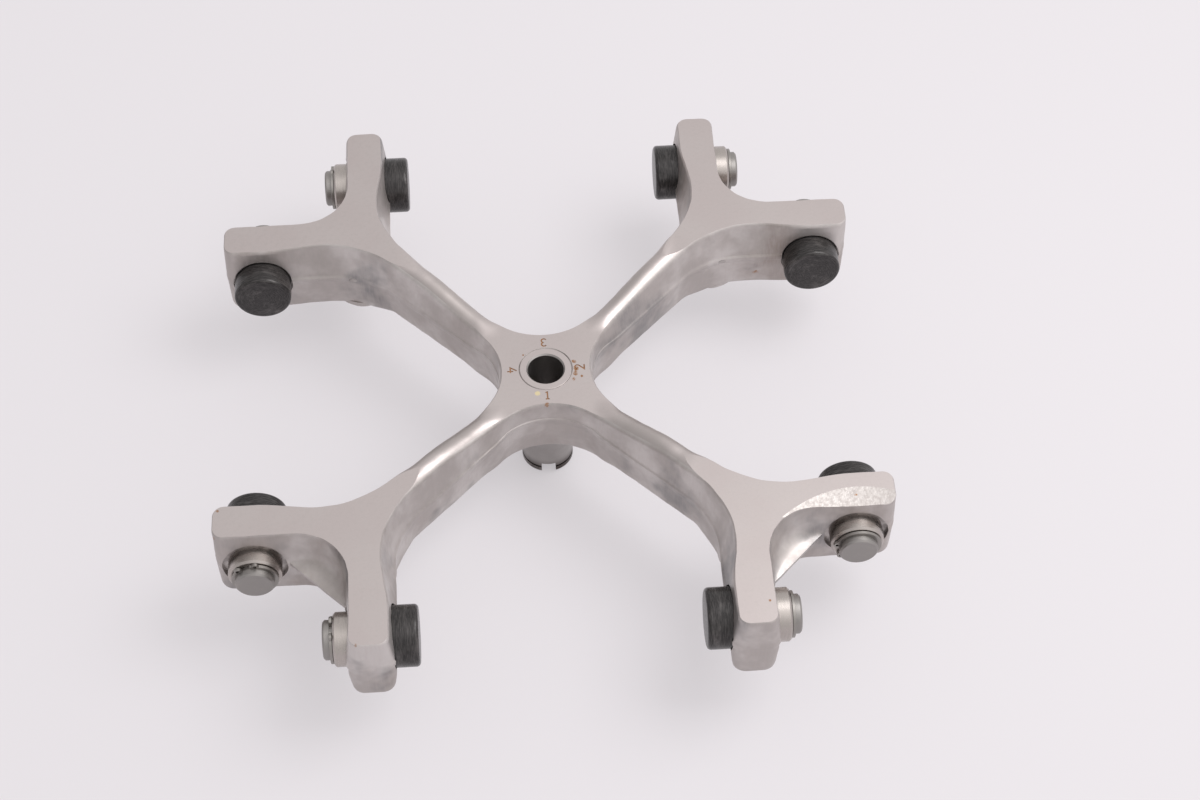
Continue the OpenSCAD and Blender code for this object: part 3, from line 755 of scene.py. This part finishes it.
def faced_steel(look):
    """Machined pads and dressed arm tops: even, faintly mottled, with fine scratches."""
    make = Finish("faced_steel", Metallic=1)
    mottle = make.noise(420, 4, 0.65)
    cloud = make.noise(34, 3, 0.5)
    scratch = make.noise(1500, 2, 0.6, finer=(1, 0.12, 1))
    radial = make.math("ADD", make.math("POWER", make.axis("X"), 2), make.math("POWER", make.axis("Y"), 2))
    on_arm = make.math("MULTIPLY", make.span(radial, 0.0008, 0.0022),
                       make.span(make.axis("Z"), YOKE_TOP - 1.5 * MM, YOKE_TOP - 0.2 * MM, 1, 0))
    colour = make.over(look.faced, look.skin_light, cloud, 0.35, 0.7, 0.25)
    colour = make.over(colour, look.skin, mottle, 0.42, 0.72, 0.22)
    colour = make.blend(make.math("MULTIPLY", on_arm, 0.6), colour, look.skin)
    paint = make.near((-4.0 * MM, -12.7 * MM, HUB_TOP), 0.8 * MM, 1.7 * MM)
    ragged = make.noise(1500, 3, 0.7)
    colour = make.blend(make.span(make.math("MULTIPLY", paint, ragged), 0.25, 0.45), colour, look.paint)
    rough = make.span(mottle, 0.3, 0.7, 0.4, 0.48)
    make.bump((scratch, 0.006 * MM), (mottle, 0.005 * MM))
    return make.done(rusted(make, colour, look.rust), rough)


def bored_steel(look):
    """Bores, seats and reliefs, as the cutter and old grease left them."""
    make = Finish("bored_steel", Metallic=1)
    grease = make.noise(180, 3, 0.6)
    colour = make.over(look.bored, look.grime, grease, 0.4, 0.7, 0.5)
    make.bump((make.noise(2000, 2), 0.006 * MM))
    return make.done(colour, make.span(grease, 0.3, 0.7, 0.35, 0.5))


def stamped_rust(look):
    """The floors of the stamped numbers, where rust has settled."""
    make = Finish("stamped_rust", Metallic=0.2)
    ragged = make.noise(1800, 3, 0.7)
    colour = make.over(look.rust, look.stain, ragged, 0.5, 0.7, 0.6)
    make.bump((ragged, 0.03 * MM))
    return make.done(colour, make.span(ragged, 0.3, 0.7, 0.6, 0.8))


def ground_steel(look):
    """The ground relief: bright, with the wheel's coarse marks."""
    make = Finish("ground_relief", Metallic=1)
    dents = make.noise(700, 3, 0.6)
    marks = make.noise(1100, 2, 0.6, finer=(1, 0.15, 1))
    colour = make.over(look.bored, look.skin, dents, 0.4, 0.65)
    make.bump((dents, 0.09 * MM), (marks, 0.03 * MM))
    return make.done(rusted(make, colour, look.rust), make.span(dents, 0.3, 0.7, 0.44, 0.56))


def turned_steel(name, look, base, worn, rough, marks, wear, metallic=1.0):
    """Steel off the lathe: marks that run round the axis, on the piece's own map, and rubbed bands."""
    make = Finish(name, Metallic=metallic)
    fine = make.noise(marks, 3, 0.65, finer=(1.5, 18, 1), source="UV")
    bands = make.noise(marks * 0.25, 2, 0.5, finer=(1.2, 8, 1), source="UV")
    patch = make.noise(220, 4, 0.6)
    rubbed = make.math("MULTIPLY", make.span(bands, 0.45, 0.75), make.span(patch, 0.35, 0.65))
    colour = make.blend(make.math("MULTIPLY", rubbed, 0.6 * wear, clamp=True), base, worn)
    colour = make.over(colour, worn, fine, 0.4, 0.75, 0.5 * wear)
    make.bump((fine, 0.012 * MM))
    return make.done(colour, make.span(fine, 0.25, 0.75, rough, rough + 0.12))


def tube_steel(look):
    """Drive tube: turned steel that turns darker towards the foot, in patches."""
    make = Finish("tube_steel", Metallic=1)
    fine = make.noise(260, 3, 0.6, finer=(0.4, 0.4, 12))
    patch = make.noise(130, 4, 0.6)
    # Darker towards the foot, broken up by patches.
    low = make.span(make.axis("Z"), 2 * MM, 9 * MM, 1, 0)
    colour = make.over(look.tube, look.ground, patch, 0.4, 0.7, 0.5)
    colour = make.blend(make.math("MULTIPLY", low, make.span(patch, 0.3, 0.6, 0.5, 1)), colour, look.grime)
    make.bump((fine, 0.01 * MM))
    return make.done(colour, make.span(fine, 0.3, 0.7, 0.34, 0.48))


# Pieces

def boss_profile(s, drop):
    """Balance boss: flat end, rounded edge, and a hollow fillet up to the underside."""
    edge = drop / 2
    bottom = arc((s.boss - edge, edge - drop), edge, -90, 0, 6, 1)[0]
    flare = arc((s.boss + edge, -edge), edge, 180, 90, 6, 1)[0]
    return [(0, -drop), *map(tuple, bottom), *map(tuple, flare[1:]), (s.boss + edge, CLEAR), (0, CLEAR)]


def stroke_mesh(points, width, depth):
    """A bent stroke as a closed block, half above and half below its own plane. Each point moves
    both ways along the sum of the unit normals before and after it, divided by one plus their
    product, so that the stroke keeps its width round a bend."""
    p = np.array(points)
    way = np.diff(p, axis=0)
    way /= np.linalg.norm(way, axis=1, keepdims=True)
    normal = np.stack([-way[:, 1], way[:, 0]], 1)
    before, after = np.vstack([normal[:1], normal]), np.vstack([normal, normal[-1:]])
    reach = (before + after) * width / 2 / (1 + (before * after).sum(1, keepdims=True))
    outline = np.vstack([p - reach, (p + reach)[::-1]])
    count = len(outline)
    low, high = [np.column_stack([outline, np.full(count, z)]) for z in (-depth, depth)]
    walls = [(i, (i + 1) % count, count + (i + 1) % count, count + i) for i in range(count)]
    mesh = bpy.data.meshes.new("stroke")
    mesh.from_pydata(np.vstack([low, high]).tolist(), [],
                     [tuple(range(count - 1, -1, -1)), tuple(range(count, 2 * count)), *walls])
    return mesh


def figure_strokes():
    """The numbers 1 to 4, one unit high about the middle: pairs of a bay and a stroke, first the
    main strokes and then those that cross them."""
    round_2 = arc((0, 0.22), 0.28, 165, -30, 8, 1)[0].tolist()
    upper_3 = arc((0, 0.24), 0.26, 150, -80, 8, 1)[0].tolist()
    lower_3 = arc((0, -0.24), 0.26, 80, -150, 8, 1)[0].tolist()
    main = [(0, [(0, 0.5), (0, -0.5)]), (1, [*round_2, (-0.28, -0.5), (0.32, -0.5)]),
            (2, upper_3), (3, [(0.1, 0.5), (-0.34, -0.16), (0.36, -0.16)])]
    crossing = [(0, [(-0.2, -0.49), (0.2, -0.49)]), (0, [(-0.18, 0.34), (0.03, 0.46)]),
                (2, lower_3), (3, [(0.16, 0.14), (0.16, -0.5)])]
    return main, crossing


def box_mesh(low, high):
    """A closed box between two corners."""
    mesh = bpy.data.meshes.new("box")
    size = Vector(high) - Vector(low)
    middle = (Vector(high) + Vector(low)) / 2
    place = Matrix.Translation(middle) @ Matrix.Diagonal((*size, 1))
    with edited(mesh) as work:
        bmesh.ops.create_cube(work, size=1, matrix=place)
    return mesh


SKIN, FACED, BORED, STAMPED, GROUND = range(5)
CLEAR = 2 * MM                          # how far a cutter or a boss reaches past the surface
SEAT_CUT = 12 * MM                      # how deep the seat behind a head is cut into the bay
BOSS_DROPS = (3.5, 3.5, 4.5, 4.5)       # millimetres, from the fork right of bay 1 round
BOSS_PLACE = 1.04                       # of the way out to where the prongs' middle lines meet


def later_cutters(s):
    """What overlaps the other cutters: strokes that cross, and the wheel that relieved a pad,
    whose lowest line starts on the pad and falls past the fork edge."""
    end = s.relief_width + s.prong_draft + CLEAR
    rim = [(0, -MM), (s.wheel, -MM), (s.wheel, end), (0, end)]
    start = (s.pin_radius, s.relief_width - s.prong_middle - s.fork_half, YOKE_TOP)
    tilt = Matrix.Rotation(math.pi / 2 + s.relief_slope, 4, "X")
    place = Matrix.Translation(start) @ tilt @ Matrix.Translation((0, s.wheel, 0))
    return joined([(turned_mesh("wheel", rim, 720), place, GROUND),
                   *stamped(s, figure_strokes()[1])])


def stamped(s, strokes):
    """Cutters for strokes of the bay numbers, each upright as seen from its bay."""
    parts = []
    for bay, points in strokes:
        turn = Matrix.Rotation(math.radians(90 * bay), 4, "Z")
        place = turn @ Matrix.Translation((0, -s.numeral_radius, HUB_TOP))
        mesh = stroke_mesh(np.array(points) * s.numeral, s.numeral_width, s.numeral_depth)
        parts.append((mesh, place, STAMPED))
    return parts


def yoke_cutters(s):
    """Everything that is machined from the forging, as one mesh of closed bodies that stay apart."""
    past = s.fork_half + s.spotface_at
    seats = [(0, -past), (s.counterbore, -past), (s.counterbore, -s.counterbore_at),
             (s.bore, -s.counterbore_at), (s.bore, s.spotface_at), (s.spotface, s.spotface_at),
             (s.spotface, s.spotface_at + SEAT_CUT), (0, s.spotface_at + SEAT_CUT)]
    seat = turned_mesh("seat", seats, 96)
    parts = [(seat, trunnion_place("pin_" + name), BORED) for name in pin_names()]
    low, high, chamfer = 10 * MM, HUB_TOP + CLEAR, 0.3 * MM
    bore = [(0, low), (s.hub_bore, low), (s.hub_bore, HUB_TOP - chamfer),
            (s.hub_bore + chamfer, HUB_TOP), (s.hub_bore + chamfer, high), (0, high)]
    still = Matrix.Identity(4)
    parts.append((turned_mesh("bore", bore), still, BORED))
    wide = 200 * MM
    facing = box_mesh((-wide, -wide, YOKE_TOP), (wide, wide, YOKE_TOP + 10 * MM))
    parts.append((facing, still, FACED))
    ball = turned_mesh("ball", s.test_ball * ray(np.linspace(-90, 90, 17)), 32)
    o = Outline(s)
    drop = o.bend_x - s.test_place
    wall = o.bay_edge - s.bay_curve + math.sqrt(s.bay_curve ** 2 - drop ** 2) - s.prong_draft
    for side in (-1, 1):
        mark = (side * s.test_place, wall - s.test_ball + s.test_depth, s.test_height)
        parts.append((ball, Matrix.Translation(mark), BORED))
    return joined(parts + stamped(s, figure_strokes()[0]))


class ROTOR_OT_forge_yoke(bpy.types.Operator):
    """Forge the yoke, grow its balance bosses, then face, bore and number it"""
    bl_idname = "rotor.forge_yoke"
    bl_label = "Forge Yoke"

    def execute(self, context):
        s = context.scene.rotor_yoke
        look = context.scene.rotor_finishes
        rings = dressed(forging_rings(s), s)
        faces = quads(*rings.shape[:2])
        forging = mesh_from("forging", rings, faces)
        crown = (len(rings) - 1 - len(CROWN_STEPS)) * rings.shape[1]
        for face in forging.polygons:
            face.material_index = FACED if face.index >= crown else SKIN
        materials = [forged_skin(look), faced_steel(look), bored_steel(look), stamped_rust(look),
                     ground_steel(look)]
        bosses = []
        out = s.prong_middle * BOSS_PLACE
        for k, drop in enumerate(BOSS_DROPS):
            boss = turned_mesh("boss", boss_profile(s, drop * MM), 64)
            place = Matrix.Rotation(math.radians(90 * k), 4, "Z") @ Matrix.Translation(
                (out, -out, YOKE_TOP - s.prong_height + 0.1 * MM))
            bosses.append((boss, place, SKIN))
        solid = carve(forging, joined(bosses), "UNION", materials)
        solid = carve(solid, yoke_cutters(s), "DIFFERENCE", materials)
        solid = carve(solid, later_cutters(s), "DIFFERENCE", materials)
        soften(solid, FORGED_SHARP)
        piece("yoke_forging", solid, materials, "yoke", "forged_steel", "yoke")
        return {"FINISHED"}


class ROTOR_OT_turn_drive_tube(bpy.types.Operator):
    """Turn the drive tube and cut its two drive slots"""
    bl_idname = "rotor.turn_drive_tube"
    bl_label = "Turn Drive Tube"

    def execute(self, context):
        t = context.scene.rotor_tube
        snap = t.outer - t.snap_depth
        profile = [
            (t.bore, 0), (t.outer - t.foot, 0), (t.outer, t.foot), (t.outer, t.snap_at),
            (snap, t.snap_at), (snap, t.snap_at + t.snap_width), (t.outer, t.snap_at + t.snap_width),
            (t.outer, HUB_TOP - t.lip), (t.outer - t.lip, HUB_TOP), (t.bore + t.mouth, HUB_TOP),
            (t.bore, HUB_TOP - t.mouth),
        ]
        tube = turned_mesh("tube", profile, closed=True)
        half = t.slot_width / 2
        slot = box_mesh((-half, -2 * t.outer, -t.slot_height), (half, 2 * t.outer, t.slot_height))
        look = context.scene.rotor_finishes
        steels = [tube_steel(look), faced_steel(look)]
        tube = soften(carve(tube, slot, "DIFFERENCE", steels))
        for face in tube.polygons:
            face.material_index = 1 if face.center.z > HUB_TOP - t.lip else 0
        piece("drive_tube_turned", tube, steels, "yoke", "drive_tube_steel", "drive_tube")
        return {"FINISHED"}


class ROTOR_OT_turn_trunnion_pins(bpy.types.Operator):
    """Turn the eight trunnion pins with their round heads and ring grooves"""
    bl_idname = "rotor.turn_trunnion_pins"
    bl_label = "Turn Trunnion Pins"

    def execute(self, context):
        p = context.scene.rotor_pins
        look = context.scene.rotor_finishes
        floor = p.shank - p.groove_depth
        near, far = -p.groove_from, -p.groove_from - p.groove_width
        shank = [(0, -p.tail), (p.shank - p.tail_chamfer, -p.tail),
                 (p.shank, p.tail_chamfer - p.tail), (p.shank, far), (floor, far), (floor, near),
                 (p.shank, near), (p.shank, p.head_from)]
        dome = [(r * (p.head - p.head_edge), p.head_to + p.dome * (1 - r * r) - p.dome)
                for r in (0.85, 0.65, 0.4, 0)]
        corner = (p.head - p.head_edge, p.head_to - p.dome - p.head_edge)
        edge = [tuple(q) for q in arc(corner, p.head_edge, 0, 90, 8, 1)[0]]
        seat_edge = 0.4 * MM
        head = [(p.shank, p.head_from), (p.head - seat_edge, p.head_from),
                (p.head, p.head_from + seat_edge), *edge, *dome]
        black = turned_steel("black_oxide", look, look.black, look.burnished, 0.23, 14, 0.5, 0.55)
        ground = turned_steel("ground_steel", look, look.ground, look.plated, 0.38, 10, 0.4)
        pin = turned_mesh("pin", shank + head[1:])
        shank_height = p.head_from - 0.1 * MM
        for face in pin.polygons:
            face.material_index = 1 if face.center.z < shank_height else 0
        for name in pin_names():
            fit("trunnion_pin_turned_", "trunnion_pin_", name, pin.copy(), [black, ground],
                "pin_" + name, "pin_steel")
        return {"FINISHED"}


class ROTOR_OT_press_bushes(bpy.types.Operator):
    """Turn the eight bushes and press them into the prongs"""
    bl_idname = "rotor.press_bushes"
    bl_label = "Press Bushes"

    def execute(self, context):
        b = context.scene.rotor_bushes
        look = context.scene.rotor_finishes
        lead = b.chamfer * 0.3
        profile = [(b.inner + lead, -b.end), (b.outer - b.chamfer, -b.end),
                   (b.outer, b.chamfer - b.end), (b.outer, b.seat), (b.inner, b.seat),
                   (b.inner, lead - b.end)]
        plated = turned_steel("plated_steel", look, look.plated, look.ground, 0.24, 8, 0.5)
        for name in pin_names():
            mesh = turned_mesh("bush", profile, closed=True)
            fit("bush_turned_", "bush_", name, mesh, [plated], "yoke", "bush_steel")
        return {"FINISHED"}


# Degrees from straight up to the gap of two rings, and from each of the others to the next
RING_TURNS = {"4_right": -20, "2_left": -105}
NEXT_TURN = 137


def ring_mesh(r):
    """Retaining ring: a section with broken edges carried round an open outline with two ears."""
    half = r.gap / 2
    angle = np.linspace(half, 2 * math.pi - half, 121)
    swing = np.minimum(angle, 2 * math.pi - angle)
    reach = r.outer - 0.5 * r.ear
    off_line = reach * np.sin(swing - r.gap)
    ear = reach * np.cos(swing - r.gap) + np.sqrt(np.clip(r.ear ** 2 - off_line ** 2, 0, None))
    plain = r.outer - 0.25 * r.ear * (1 + np.cos(angle)) / 2
    outer = np.where(np.abs(off_line) < r.ear, np.maximum(ear, plain), plain)
    e, h = r.edge, r.thickness
    section = [(0, e, 0), (0, 0, e), (0, 0, h - e), (0, e, h),
               (1, -e, h), (1, 0, h - e), (1, 0, e), (1, -e, 0)]
    side, shift, height = (np.array(c)[None] for c in zip(*section))
    radius = mix(r.inner, outer[:, None], side) + shift
    spokes = ray(np.degrees(angle))[:, None]
    points = np.concatenate([radius[..., None] * spokes,
                             np.broadcast_to(height, radius.shape)[..., None]], -1)
    count = len(section)
    start = points.shape[0] * count - count
    ends = [list(range(count))[::-1], list(range(start, start + count))]
    return mesh_from("ring", points, quads(*points.shape[:2]) + ends)


class ROTOR_OT_snap_rings(bpy.types.Operator):
    """Snap the eight retaining rings into the pins' grooves"""
    bl_idname = "rotor.snap_rings"
    bl_label = "Snap Rings"

    def execute(self, context):
        r = context.scene.rotor_rings
        look = context.scene.rotor_finishes
        spring = turned_steel("spring_steel", look, look.spring, look.plated, 0.3, 10, 0.6)
        reach = r.outer - 0.5 * r.ear
        drill = turned_mesh("drill", [(0, -MM), (r.ear_hole, -MM), (r.ear_hole, 3 * MM), (0, 3 * MM)], 24)
        holes = [(drill, Matrix.Rotation(way * r.gap, 4, "Z") @ Matrix.Translation((reach, 0, 0)), 0)
                 for way in (1, -1)]
        ring = carve(ring_mesh(r), joined(holes), "DIFFERENCE", [spring])
        for place, name in enumerate(pin_names()):
            mesh = ring.copy()
            turn = RING_TURNS.get(name, NEXT_TURN * place)
            mesh.transform(Matrix.Translation((0, 0, -r.near - r.thickness))
                           @ Matrix.Rotation(math.radians(turn), 4, "Z"))
            fit("retaining_ring_eared_", "retaining_ring_", name, mesh, [spring], "pin_" + name,
                "spring_steel")
        return {"FINISHED"}


# Stage

@named
class StageSizes(bpy.types.PropertyGroup):
    azimuth: angle("Turn of the view about the upright axis", -4.21)
    elevation: angle("How far the view looks down", 51.97)
    roll: angle("Tilt of the view", -0.33)
    distance: length("From the camera to the middle of the fork pads", 936.3)
    right: length("How far the camera stands right of the spin axis", 22.39)
    up: length("How far the view is raised in its own plane", -17.01)
    lens: number("Focal length in millimetres", 68.82)
    key_power: number("Power of the key light", 4.5, unit="POWER", subtype="POWER")
    key_size: length("Width of the key light", 600)
    bright: number("Level of the tent on the right", 1.06)
    dim: number("Level of the tent on the left", 0.55)
    glow: number("Level of the glow overhead", 0.8)
    paper: colour("The sheet that the rotor stands on", (0.325, 0.312, 0.325))
    glow_through: colour("Light that comes through the sheet", (0.42, 0.403, 0.415))


def tent(world, st):
    """A white tent all round: lighter on the right, with a soft glow overhead."""
    make = Nodes(world.node_tree)

    def toward(direction, low):
        share = make.vector("DOT_PRODUCT", make.coords.outputs["Generated"],
                            Vector(direction).normalized())
        return make.span(share, low, 1, kind="LINEAR")

    side = make.math("MULTIPLY", toward((1, 0.1, 0), -1), st.bright - st.dim)
    glow = make.math("MULTIPLY", make.math("POWER", toward((0.35, -0.3, 0.89), 0), 6), st.glow)
    background = world.node_tree.nodes["Background"].inputs
    make.set(background["Strength"], make.math("ADD", make.math("ADD", side, glow), st.dim))
    background["Color"].default_value = (1, 0.985, 0.985, 1)


def area_light(name, place, target, size, power):
    """A square soft light that faces a point."""
    lamp = bpy.data.lights.new(name, "AREA")
    lamp.size = size
    lamp.energy = power
    obj = placed(name, lamp)
    obj.location = place
    obj.rotation_euler = (Vector(target) - Vector(place)).to_track_quat("-Z", "Y").to_euler()


class ROTOR_OT_light_stage(bpy.types.Operator):
    """Lay the floor and set the lights and the camera"""
    bl_idname = "rotor.light_stage"
    bl_label = "Light Stage"

    def execute(self, context):
        st = context.scene.rotor_stage
        scene = context.scene
        scene.view_settings.view_transform = "Standard"
        world = bpy.data.worlds.new("studio")
        scene.world = world
        world.use_nodes = True
        tent(world, st)
        floor = bpy.data.meshes.new("floor")
        reach = 4
        floor.from_pydata([(-reach, -reach, 0), (reach, -reach, 0), (reach, reach, 0),
                           (-reach, reach, 0)], [], [(0, 1, 2, 3)])
        paper = bpy.data.materials.new("paper")
        paper.use_nodes = True
        sheet_look = {"Base Color": (*st.paper, 1), "Roughness": 0.7, "Specular IOR Level": 0.1,
                      "Emission Color": (*st.glow_through, 1), "Emission Strength": 1}
        for socket, value in sheet_look.items():
            paper.node_tree.nodes["Principled BSDF"].inputs[socket].default_value = value
        floor.materials.append(paper)
        placed("floor", floor)
        middle = (0, 0, YOKE_TOP)
        area_light("key", (0.55, 0, 0.95), middle, st.key_size, st.key_power)
        lens = bpy.data.cameras.new("camera")
        lens.lens = st.lens
        lens.sensor_width = 36
        lens.clip_end = 20
        camera = placed("camera", lens)
        side, high = math.sin(st.elevation), math.cos(st.elevation)
        place = Matrix.Translation((st.right, st.up * side - st.distance * high,
                                    st.up * high + st.distance * side + YOKE_TOP))
        tilt = Matrix.Rotation(math.pi / 2 - st.elevation, 4, "X")
        camera.matrix_world = Matrix.Rotation(st.azimuth, 4, "Z") @ place @ tilt \
            @ Matrix.Rotation(-st.roll, 4, "Z")
        scene.camera = camera
        return {"FINISHED"}


OPERATORS = (ROTOR_OT_forge_yoke, ROTOR_OT_turn_drive_tube, ROTOR_OT_turn_trunnion_pins,
             ROTOR_OT_press_bushes, ROTOR_OT_snap_rings, ROTOR_OT_light_stage)
GROUPS = {"rotor_yoke": YokeSizes, "rotor_pins": PinSizes, "rotor_bushes": BushSizes,
          "rotor_rings": RingSizes, "rotor_tube": TubeSizes, "rotor_finishes": Finishes,
          "rotor_stage": StageSizes}


class ROTOR_PT_build(bpy.types.Panel):
    """The steps of the build, in order"""
    bl_label = "Swing-out Rotor"
    bl_space_type = "VIEW_3D"
    bl_region_type = "UI"
    bl_category = "Rotor"

    def draw(self, context):
        for step in OPERATORS:
            self.layout.operator(step.bl_idname)


def register():
    for name, group in GROUPS.items():
        bpy.utils.register_class(group)
        setattr(bpy.types.Scene, name, PointerProperty(type=group))
    for kind in (*OPERATORS, ROTOR_PT_build):
        bpy.utils.register_class(kind)


def unregister():
    for kind in (ROTOR_PT_build, *reversed(OPERATORS)):
        bpy.utils.unregister_class(kind)
    for name, group in reversed(GROUPS.items()):
        delattr(bpy.types.Scene, name)
        bpy.utils.unregister_class(group)


def main():
    register()
    for step in OPERATORS:
        area, action = step.bl_idname.split(".")
        getattr(getattr(bpy.ops, area), action)()
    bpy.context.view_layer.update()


if __name__ == "__main__":
    main()
